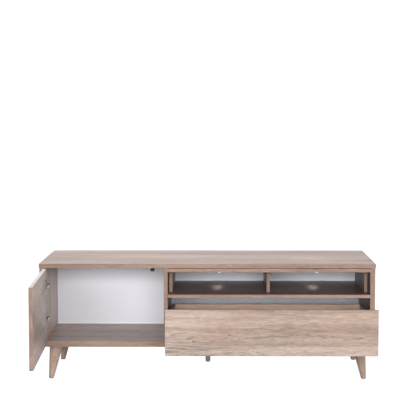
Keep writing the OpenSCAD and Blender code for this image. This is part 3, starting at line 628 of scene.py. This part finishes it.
def lathe(radius, height, around, sink=None):
    """Points, quads and end triangles of a closed turned shape about the Z axis. Each radius and
    height makes one ring, from the lowest to the last; one point on the axis closes each end.
    sink, if given, lowers the points by an amount for each ring and each angle around."""
    turn = np.linspace(0, 2 * np.pi, around, endpoint=False)
    radius, height = np.array(radius, float), np.array(height, float)
    z = np.broadcast_to(height[1:-1, None], (len(height) - 2, around)).copy()
    if sink is not None:
        z -= sink(radius[1:-1, None], turn)
    rings = np.stack([radius[1:-1, None] * np.cos(turn), radius[1:-1, None] * np.sin(turn), z], -1)
    points = np.concatenate([[[0, 0, height[0]]], rings.reshape(-1, 3), [[0, 0, height[-1]]]])
    ring = 1 + np.arange(rings.shape[0] * around).reshape(-1, around)
    after = np.roll(ring, -1, axis=1)
    quads = np.stack([ring[:-1], after[:-1], after[1:], ring[1:]], -1).reshape(-1, 4)
    low_end = np.stack([np.zeros(around, int), after[0], ring[0]], -1)
    high_end = np.stack([np.full(around, len(points) - 1), ring[-1], after[-1]], -1)
    return points, quads, np.concatenate([low_end, high_end])


def facing(points, way):
    """Turns a shape made along +Z so that it points along +x, -x, +y, -y, +z or -z."""
    axis, sign = AXES[way[1]], 1.0 if way[0] == "+" else -1.0
    along = np.zeros(3)
    along[axis] = sign
    side = np.roll(along, 1)
    return points @ np.stack([side, np.cross(along, side), along])


def many(name, shapes, material, body, grain=None):
    """Joins several shapes, each as points, quads and triangles, into one piece."""
    points = np.concatenate([shape[0] for shape in shapes])
    starts = np.cumsum([0] + [len(shape[0]) for shape in shapes])
    quads = np.concatenate([shape[1] + start for start, shape in zip(starts, shapes)])
    triangles = np.concatenate([shape[2] + start for start, shape in zip(starts, shapes)])
    return new_piece(name, points, quads.tolist() + triangles.tolist(), material, body,
                     grain=grain(points) if grain else None, sharp=35)


def cross_screw(length, head_r):
    """A screw with a domed head and a cross recess, its head's top at zero and its tip below. It is
    a lathe shape whose head falls away with the square of the distance from the axis. The recess
    sinks every point of the head that is nearer to a cross line than a sixth of the radius."""
    shank_r, head_t = 0.47 * head_r, 0.38 * head_r
    across = np.array([0.97, 0.85, 0.70, 0.56, 0.42, 0.28, 0.14])
    radius = np.concatenate([[0, 0.4 * shank_r, shank_r, shank_r, head_r, head_r],
                             head_r * across, [0]])
    height = np.concatenate([[-length, -length, -length + 1.5 * shank_r, -head_t, -head_t,
                              -0.45 * head_t], -0.40 * head_t * across ** 2, [-0.75 * head_t]])

    def recess(r, turn):
        """How far each point sinks, from its distance to the nearer of the cross's two lines."""
        from_cross = np.minimum(np.abs(np.sin(turn)), np.abs(np.cos(turn))) * r
        inside = (from_cross < head_r / 6) & (r < 0.6 * head_r)
        ring_in_head = np.arange(len(r))[:, None] > 4
        return np.where(inside & ring_in_head, 0.62 * head_t, 0.0)

    return lathe(radius, height, 16, recess)


def screws(node, ways, material, moved=None, back=None):
    """Replaces a CAD node of screws by cross-recess screws of the same places and sizes. ways
    tells which way the heads face, and may depend on the place. For the door, moved closes the
    node before it is measured and back opens the new screws again."""
    shapes = []
    for low, high in solids(node, moved):
        way = ways((low + high) / 2) if callable(ways) else ways
        axis = AXES[way[1]]
        size = high - low
        head_r = max(size[k] for k in range(3) if k != axis) / 2
        points, quads, triangles = cross_screw(size[axis], head_r)
        head = (low + high) / 2
        head[axis] = high[axis] if way[0] == "+" else low[axis]
        points = facing(points, way) + head
        shapes.append((back(points) if back else points, quads, triangles))
    piece = many(node + "_crossed", shapes, material, body_of(frame["nodes"][node])[0])
    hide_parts(node)


def door_closed(points):
    """Takes points from the door as it stands to the closed door."""
    return about_pin(points, -door_turn)


def door_reopened(points):
    """Takes points from the closed door to the door as it stands."""
    return about_pin(points, door_turn)


nickel = plated("nickel_plate", (0.70, 0.69, 0.67), 0.30)
pressed_edge = 0.0003
for node in ("hinge_arm_upper", "hinge_arm_lower", "hinge_plate_upper", "hinge_plate_lower",
             "hinge_cup_upper", "hinge_cup_lower", "hinge_pins", "latch_strike"):
    softened(node, pressed_edge, nickel)
screws("hinge_plate_screws", "+x", nickel)
screws("hinge_arm_screws", "+x", nickel)
screws("hinge_cup_screws", "+y", nickel, door_closed, door_reopened)


def moulded(name, colour, rough):
    """Moulded plastic or rubber: a fine spark-eroded grain in the surface and a slight variation
    of the gloss, both noise on the object's own coordinates."""
    material, tree, shader = fresh_material(name, rough)
    speckle = noise(tree, joined(tree, "TexCoord", {}, "Object"), grey(1800.0))
    paler = [min(1.0, 1.1 * c) for c in colour]
    tone = ramp(tree, speckle, [(0.0, [0.8 * c for c in colour]), (1.0, paler)])
    tree.links.new(tone, shader.inputs["Base Color"])
    inputs = {"Value": speckle, "To Min": rough - 0.05, "To Max": rough + 0.08}
    tree.links.new(joined(tree, "MapRange", inputs, "Result"), shader.inputs["Roughness"])
    bumped(tree, shader, speckle, 0.2, 0.0001)
    return material


black_plastic = moulded("black_plastic", (0.022, 0.022, 0.023), 0.42)
plug_recess, plug_depth, plug_half_height, plug_edge = 0.0006, 0.0024, 0.0062, 0.0008
arm_wall, plug_play = 0.0026, 0.0005
plug_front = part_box("left_side")[0][1] + plug_recess
# Each black plug is painted shade: a dark block in the arm's front end, where its hollow lies in
# shadow.
for node in ("hinge_arm_upper", "hinge_arm_lower"):
    arm_low, arm_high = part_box(node)
    plate_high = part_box(node.replace("arm", "plate"))[1]
    middle = (arm_low[2] + arm_high[2]) / 2
    plug_low = (plate_high[0] + plug_play, plug_front, middle - plug_half_height)
    plug_high = (arm_high[0] - arm_wall, plug_front + plug_depth, middle + plug_half_height)
    points, normals, quads = board_skin(plug_low, plug_high, plug_edge)
    plug = new_piece(node.replace("arm", "arm_shade_plug"), points, quads.tolist(), black_plastic,
                     "cabinet", normals)

# ---------------------------------------------------------------------------------------------
# Push latch
# Black moulded body screwed under the top panel, with a sprung round plunger, whose tip meets the
# strike on the door.
# ---------------------------------------------------------------------------------------------
slide_zinc = plated("slide_zinc", (0.58, 0.60, 0.63), 0.36)
moulded_edge = 0.0006
for node in ("push_latch_body", "push_latch_plunger"):
    softened(node, moulded_edge, black_plastic)
screws("push_latch_screws", "-z", slide_zinc)

# ---------------------------------------------------------------------------------------------
# Drawer slides
# Two full-extension slides of zinc-plated rolled steel, each of three members. Steel balls run
# between their flanges, and screws hold the outer and inner members to the boards.
# ---------------------------------------------------------------------------------------------
flange_edge = 0.0004
for node in ("slide_outer_left", "slide_outer_right", "slide_middle_left", "slide_middle_right",
             "slide_inner_left", "slide_inner_right"):
    softened(node, flange_edge, slide_zinc)
cabinet_middle = (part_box("slide_outer_left")[0][0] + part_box("slide_outer_right")[1][0]) / 2
screws("slide_screws_cabinet", lambda p: "+x" if p[0] < cabinet_middle else "-x", slide_zinc)
screws("slide_screws_drawer", lambda p: "-x" if p[0] < cabinet_middle else "+x", slide_zinc)
screws("drawer_front_screws", "-y", slide_zinc)

ball_r = 0.0013
balls_in_row = 16
row_end = 0.02
web_t = 0.0012


def ball_rows(side):
    """Two rows of balls over and two under a middle slide member, between it and its neighbours.
    Each ball is a lathe shape whose profile is a half circle, and the balls of a row are evenly
    spaced."""
    bend = np.radians(np.linspace(0, 180, 7))
    ball = lathe(ball_r * np.sin(bend), -ball_r * np.cos(bend), 8)
    low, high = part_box("slide_middle_" + side)
    outer_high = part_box("slide_outer_" + side)[1]
    inner_low, inner_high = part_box("slide_inner_" + side)
    x = (low[0] + high[0]) / 2
    gap = (outer_high[2] - high[2] - web_t) / 2
    heights = [high[2] + gap, low[2] - gap,
               (inner_high[2] + high[2] - web_t) / 2, (inner_low[2] + low[2] + web_t) / 2]
    row = np.linspace(low[1] + row_end, high[1] - row_end, balls_in_row)
    places = [(x, y, z) for z in heights for y in row]
    shapes = [(ball[0] + np.array(place), ball[1], ball[2]) for place in places]
    balls = many("slide_balls_" + side, shapes, slide_zinc,
                 body_of(frame["nodes"]["slide_middle_" + side])[0])


for side in ("left", "right"):
    ball_rows(side)

# ---------------------------------------------------------------------------------------------
# Cams, bolts and dowels
# Die-cast zinc cams in the upright boards draw in steel bolts; beech dowels beside them keep the
# boards in line. A thin foiled cap, stuck on, hides each cam.
# ---------------------------------------------------------------------------------------------
cast_zinc = plated("cast_zinc", (0.46, 0.47, 0.49), 0.52)
beech = moulded("beech_dowel", (0.55, 0.38, 0.22), 0.70)
cast_edge, dowel_edge = 0.0003, 0.0008
for node in ("cam_locks", "cam_bolts"):
    softened(node, cast_edge, cast_zinc)
softened("dowels", dowel_edge, beech)

cap_r, cap_rim = 0.0085, 0.0006


def cam_caps():
    """Shallow caps over the cams: a lathe shape of a flat disc whose rim is a quarter circle."""
    bend = np.radians(np.linspace(0, 90, 5))
    radius = np.concatenate([[0, cap_r], cap_r - cap_rim * (1 - np.cos(bend[1:])), [0]])
    height = np.concatenate([[0, 0], cap_rim * np.sin(bend[1:]), [cap_rim]])
    points, quads, triangles = lathe(radius, height, 32)
    right_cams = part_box("right_side")[0][0] - 0.001
    grain_seed = 3
    shapes = []
    for low, high in solids("cam_locks"):
        way = "-x" if low[0] > right_cams else "+x"
        place = (low + high) / 2
        place[0] = low[0] if way == "-x" else high[0]
        shapes.append((facing(points, way) + place, quads, triangles))
    caps = many("cam_caps", shapes, board_foil, "cabinet",
                lambda points: grain_coordinates(points, "z", grain_seed))


cam_caps()

# ---------------------------------------------------------------------------------------------
# Leg plates, bolts and glides
# A round steel plate screwed under the bottom panel takes each leg's bolt. A rubber glide is
# pressed under each foot.
# ---------------------------------------------------------------------------------------------
for node in ("leg_plates", "leg_plate_screws", "leg_bolts"):
    softened(node, pressed_edge, slide_zinc)
glide_rubber = moulded("glide_rubber", (0.035, 0.030, 0.028), 0.75)
glide_edge = 0.0005
softened("leg_glides", glide_edge, glide_rubber)

# ---------------------------------------------------------------------------------------------
# Downlights
# A white moulded ring in the niche ceiling over each cell, with a frosted dome lens that glows. A
# spot light, narrowed sideways and set behind the lens, throws the pool of light on the shelf.
# ---------------------------------------------------------------------------------------------
ring_white = moulded("ring_white", (0.72, 0.72, 0.72), 0.38)
ring_edge = 0.0005
for node in ("light_ring_left", "light_ring_right"):
    softened(node, ring_edge, ring_white)


def frosted_lens():
    """Frosted lens of a lit downlight: white plastic that glows."""
    material, tree, shader = fresh_material("frosted_lens", 0.35)
    shader.inputs["Base Color"].default_value = (0.9, 0.88, 0.85, 1)
    shader.inputs["Emission Color"].default_value = (1.0, 0.95, 0.92, 1)
    shader.inputs["Emission Strength"].default_value = 0.9
    frost = noise(tree, joined(tree, "TexCoord", {}, "Object"), grey(1400.0))
    bumped(tree, shader, frost, 0.25, 0.0001)
    return material


lens = frosted_lens()
disc_t, disc_edge, dome_r = 0.002, 0.0004, 0.012


def domed_lens(node):
    """The lens is a lathe shape: a half ball, a short neck, and a thin disc with rounded edges."""
    low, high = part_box(node)
    centre = np.array([(low[0] + high[0]) / 2, (low[1] + high[1]) / 2, 0.0])
    disc_r = (high[0] - low[0]) / 2
    bend = np.radians(np.linspace(0, 90, 12))
    radius = np.concatenate([dome_r * np.sin(bend), [dome_r, disc_r - disc_edge, disc_r, disc_r,
                                                     disc_r - disc_edge, 0]])
    disc_heights = np.array([disc_t, disc_t, disc_t - disc_edge, disc_edge, 0, 0])
    height = np.concatenate([low[2] + dome_r * (1 - np.cos(bend)), high[2] - disc_heights])
    points, quads, triangles = lathe(radius, height, 48)
    lens_piece = many(node + "_domed", [(points + centre, quads, triangles)], lens, "cabinet")
    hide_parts(node)


beam_power, beam_angle, beam_blur = 0.62, 70, 0.015
beam_shift = np.array([-0.007, 0.13, 0.010])
beam_stretch = (0.46, 2.2, 1.0)
for node in ("light_lens_left", "light_lens_right"):
    domed_lens(node)
    low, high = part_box(node)
    beam = bpy.data.lights.new(node + "_beam", "SPOT")
    beam.energy = beam_power
    beam.color = (0.93, 0.96, 1.0)
    beam.spot_size = math.radians(beam_angle)
    beam.spot_blend = 1.0
    beam.shadow_soft_size = beam_blur
    lamp = bpy.data.objects.new(node + "_beam", beam)
    lamp.location = np.array([(low[0] + high[0]) / 2, (low[1] + high[1]) / 2, low[2]]) + beam_shift
    lamp.scale = beam_stretch
    bpy.context.scene.collection.objects.link(lamp)

# ---------------------------------------------------------------------------------------------
# Studio
# Not part of the cabinet: a pale paper sweep that looks white to the camera, three broad soft
# boxes, and a long lens that looks slightly down from in front.
# ---------------------------------------------------------------------------------------------


def studio_sweep():
    """Pale floor that curves up into a wall: a profile of floor, quarter circle and wall, carried
    straight along X. The cabinet stands near the front of it."""
    front, bend_at, bend_r, wall_top, half_width = -9.0, 3.6, 1.6, 7.0, 12.0
    curve = np.radians(np.linspace(0, 90, 24))
    y = np.concatenate([[front], bend_at + bend_r * np.sin(curve), [bend_at + bend_r]])
    z = np.concatenate([[0.0], bend_r * (1 - np.cos(curve)), [wall_top]])
    x = np.array([-half_width, half_width])
    points = np.stack([np.repeat(x, len(y)), np.tile(y, 2), np.tile(z, 2)], -1)
    row = np.arange(len(y) - 1)
    quads = np.stack([row, row + len(y), row + len(y) + 1, row + 1], -1)
    mesh = bpy.data.meshes.new("studio_sweep")
    mesh.from_pydata(points.tolist(), [], quads.tolist())
    mesh.shade_smooth()
    material, tree, shader = fresh_material("studio_paper", 0.9)
    shader.inputs["Base Color"].default_value = (0.22, 0.22, 0.22, 1)
    shader.inputs["Emission Color"].default_value = (1, 1, 1, 1)
    seen_by_camera = joined(tree, "LightPath", {}, "Is Camera Ray")
    mirrored = reckon(tree, "MULTIPLY", joined(tree, "LightPath", {}, "Is Glossy Ray"), 0.6)
    seen = reckon(tree, "MAXIMUM", seen_by_camera, mirrored)
    tree.links.new(reckon(tree, "MULTIPLY", seen, 0.98), shader.inputs["Emission Strength"])
    mesh.materials.append(material)
    sweep = bpy.data.objects.new("studio_sweep", mesh)
    bpy.context.scene.collection.objects.link(sweep)


studio_sweep()


def soft_light(name, place, aim, width, height, power, mirrored=True):
    """A soft box: an area light at a place, facing a point, and mirrored in glossy parts or not."""
    data = bpy.data.lights.new(name, "AREA")
    data.shape = "RECTANGLE"
    data.size, data.size_y = width, height
    data.energy = power
    light = bpy.data.objects.new(name, data)
    light.location = place
    direction = np.array(aim, float) - np.array(place, float)
    yaw = math.atan2(-direction[0], direction[1])
    pitch = math.atan2(direction[2], math.hypot(direction[0], direction[1]))
    light.rotation_euler = (math.radians(90) + pitch, 0, yaw)
    light.visible_glossy = mirrored
    bpy.context.scene.collection.objects.link(light)


soft_light("front_soft_box", (-0.4, -6.3, 1.55), (0.0, -0.3, 0.35), 4.5, 1.4, 365, False)
soft_light("right_soft_box", (4.2, -3.6, 1.6), (-0.3, -0.5, 0.3), 2.5, 2.0, 132, False)
soft_light("top_soft_box", (0.0, 0.4, 3.7), (0.0, -0.1, 0.3), 3.2, 2.2, 104)

world = bpy.data.worlds.new("studio_air")
bpy.context.scene.world = world
world.use_nodes = True
air = world.node_tree.nodes["Background"]
air.inputs["Color"].default_value = (1, 1, 1, 1)
seen_air = joined(world.node_tree, "LightPath", {}, "Is Camera Ray")
air_strength = joined(world.node_tree, "MapRange",
                      {"Value": seen_air, "To Min": 0.25, "To Max": 1.0}, "Result")
world.node_tree.links.new(air_strength, air.inputs["Strength"])

scene = bpy.context.scene
scene.view_settings.view_transform = "Standard"
scene.view_settings.look = "None"

top_front, bottom_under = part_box("top_panel")[0][1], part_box("bottom_panel")[0][2]
camera_right, camera_distance, camera_height = 0.0422, 4.9445, 0.9892
camera_tilt, camera_pan = 4.70, 0.45
camera_data = bpy.data.cameras.new("camera")
camera_data.sensor_width = 36.0
camera_data.lens = 103.85
camera_data.clip_end = 60.0
camera = bpy.data.objects.new("camera", camera_data)
camera.location = (camera_right, top_front - camera_distance, bottom_under + camera_height)
camera.rotation_euler = (math.radians(90 - camera_tilt), 0, math.radians(camera_pan))
scene.collection.objects.link(camera)
scene.camera = camera
